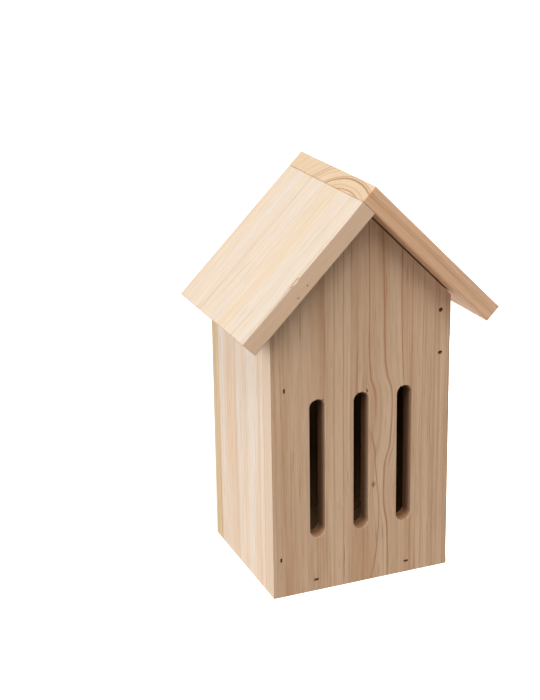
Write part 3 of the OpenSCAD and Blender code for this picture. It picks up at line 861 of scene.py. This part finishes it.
# %% Hanger
HANGER = [("hanger_strap", "house", 0.06), ("hanger_screw", "house", 0.12), ("hanger_ring", "ring", 0.0)]
for node, body, ease in HANGER:
    piece = merged_copy(node, node + "_metal")
    if ease:
        rolled = piece.modifiers.new("rolled", "BEVEL")
        rolled.limit_method, rolled.angle_limit = "ANGLE", math.radians(40)
        rolled.width, rolled.segments = ease * MM, 2
        bake_modifiers(piece)
    piece.data.materials.append(hanger_metal)
    for face in piece.data.polygons:
        face.use_smooth = True
    piece.data.set_sharp_from_angle(angle=math.radians(40))
    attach(piece, body)
    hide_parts(node)
    print(piece.name, len(piece.data.polygons), "faces")

# %% [markdown]
# ## Floor, light and camera
# The house stands on a white table in a bright tent. The table looks so brightly lit that it is plain white, but
# towards the house it acts as grey paper with a faint glow of its own. A glowing card on it, to the right and
# behind the front panel, lights the right eave from below.

# %% Floor
def lit_paper(name, seen_tone, bounce_tone, glow):
    """White paper: overexposed to the camera, while the house gets the light of its bounce tone and glow."""
    mat, t = blank_material(name)
    seen = put(t, "ShaderNodeLightPath").outputs["Is Camera Ray"]
    tone = put(t, "ShaderNodeMix", {0: seen, 6: linear(bounce_tone), 7: linear(seen_tone)}, data_type="RGBA")
    shine = put(t, "ShaderNodeMath", {0: seen, 1: 0.4, 2: glow}, operation="MULTIPLY_ADD").outputs[0]
    shader = put(t, "ShaderNodeBsdfPrincipled", {"Base Color": tone.outputs[2], "Roughness": 0.75,
                                                 "Emission Color": linear("#FFFAFA"),
                                                 "Emission Strength": shine})
    put(t, "ShaderNodeOutputMaterial", {"Surface": shader.outputs[0]})
    return mat


def sheet(name, x0, x1, y0, y1, height, paper):
    """A level rectangle."""
    mesh = bpy.data.meshes.new(name)
    mesh.from_pydata([(x0, y0, height), (x1, y0, height), (x1, y1, height), (x0, y1, height)], [],
                     [(0, 1, 2, 3)])
    mesh.materials.append(paper)
    return put_in_scene(name, mesh)


table_top = sheet("table_top", -3, 3, -3, 3, 0, lit_paper("white_paper_table", "#FAFAFA", "#9C9C9C", 0.1))
glow_card = sheet("glow_card", 0.056, 0.36, -0.04, 0.3, 0.0004,
                  lit_paper("glowing_card", "#FAFAFA", "#F0F0F0", 1.9))
print(table_top.name, glow_card.name)

# %% [markdown]
# Two distant soft lamps light the house. The stronger hangs far to the left, so the left slope of the roof is
# the brightest face and the left side comes next. The other stands high in front and lightens the shade there.

# %% Light
world = bpy.data.worlds.new("white_tent")
bpy.context.scene.world = world
world.use_nodes = True
w = world.node_tree
w.nodes.clear()
seen = put(w, "ShaderNodeLightPath").outputs["Is Camera Ray"]
LIGHTING, SEEN = 0.25, 1.05
strength = put(w, "ShaderNodeMapRange", {0: seen, 3: LIGHTING, 4: SEEN}).outputs[0]
tent = put(w, "ShaderNodeBackground", {"Color": linear("#FDFEFF"), "Strength": strength})
put(w, "ShaderNodeOutputWorld", {"Surface": tent.outputs[0]})


def far_lamp(name, place, spread_degrees, power, colour):
    """A lamp so far away that only its direction counts. A wide spread gives it soft shadows."""
    lamp = bpy.data.lights.new(name, "SUN")
    lamp.energy, lamp.angle, lamp.color = power, math.radians(spread_degrees), linear(colour)[:3]
    put_in_scene(name, lamp).rotation_euler = Vector(place).to_track_quat("Z", "Y").to_euler()


# A lamp's power is pi times the brightness that it gives to a white face turned square to it.
far_lamp("key_lamp", (-0.85, -0.05, 0.35), 50, 0.72 * math.pi, "#FFFDFA")
far_lamp("front_lamp", (-0.15, -0.55, 0.80), 35, 0.67 * math.pi, "#FFFFFF")
bpy.context.scene.view_settings.view_transform = "Standard"
print("two lamps and a white tent")

# %% [markdown]
# A long lens looks a little down on the house from the front left. Its place and its turns were fitted to the
# sizes of the house.

# %% Camera
yaw, pitch, roll = (math.radians(a) for a in (-21.857, 16.783, -0.921))
forward = Vector((math.sin(-yaw) * math.cos(pitch), math.cos(yaw) * math.cos(pitch), -math.sin(pitch)))
flat_right = forward.cross(Vector((0, 0, 1))).normalized()
flat_up = flat_right.cross(forward)
right = flat_right * math.cos(roll) + flat_up * math.sin(roll)
up = flat_up * math.cos(roll) - flat_right * math.sin(roll)
camera_data = bpy.data.cameras.new("camera")
camera_data.lens = 77.47
camera_data.shift_y = -0.1
camera_data.clip_start, camera_data.clip_end = 0.05, 30
camera = put_in_scene("camera", camera_data)
camera.matrix_world = Matrix((right, up, -forward)).transposed().to_4x4()
camera.location = (-0.32107, -0.71647, 0.39742)
bpy.context.scene.camera = camera
print("lens", round(camera_data.lens, 1), "mm")
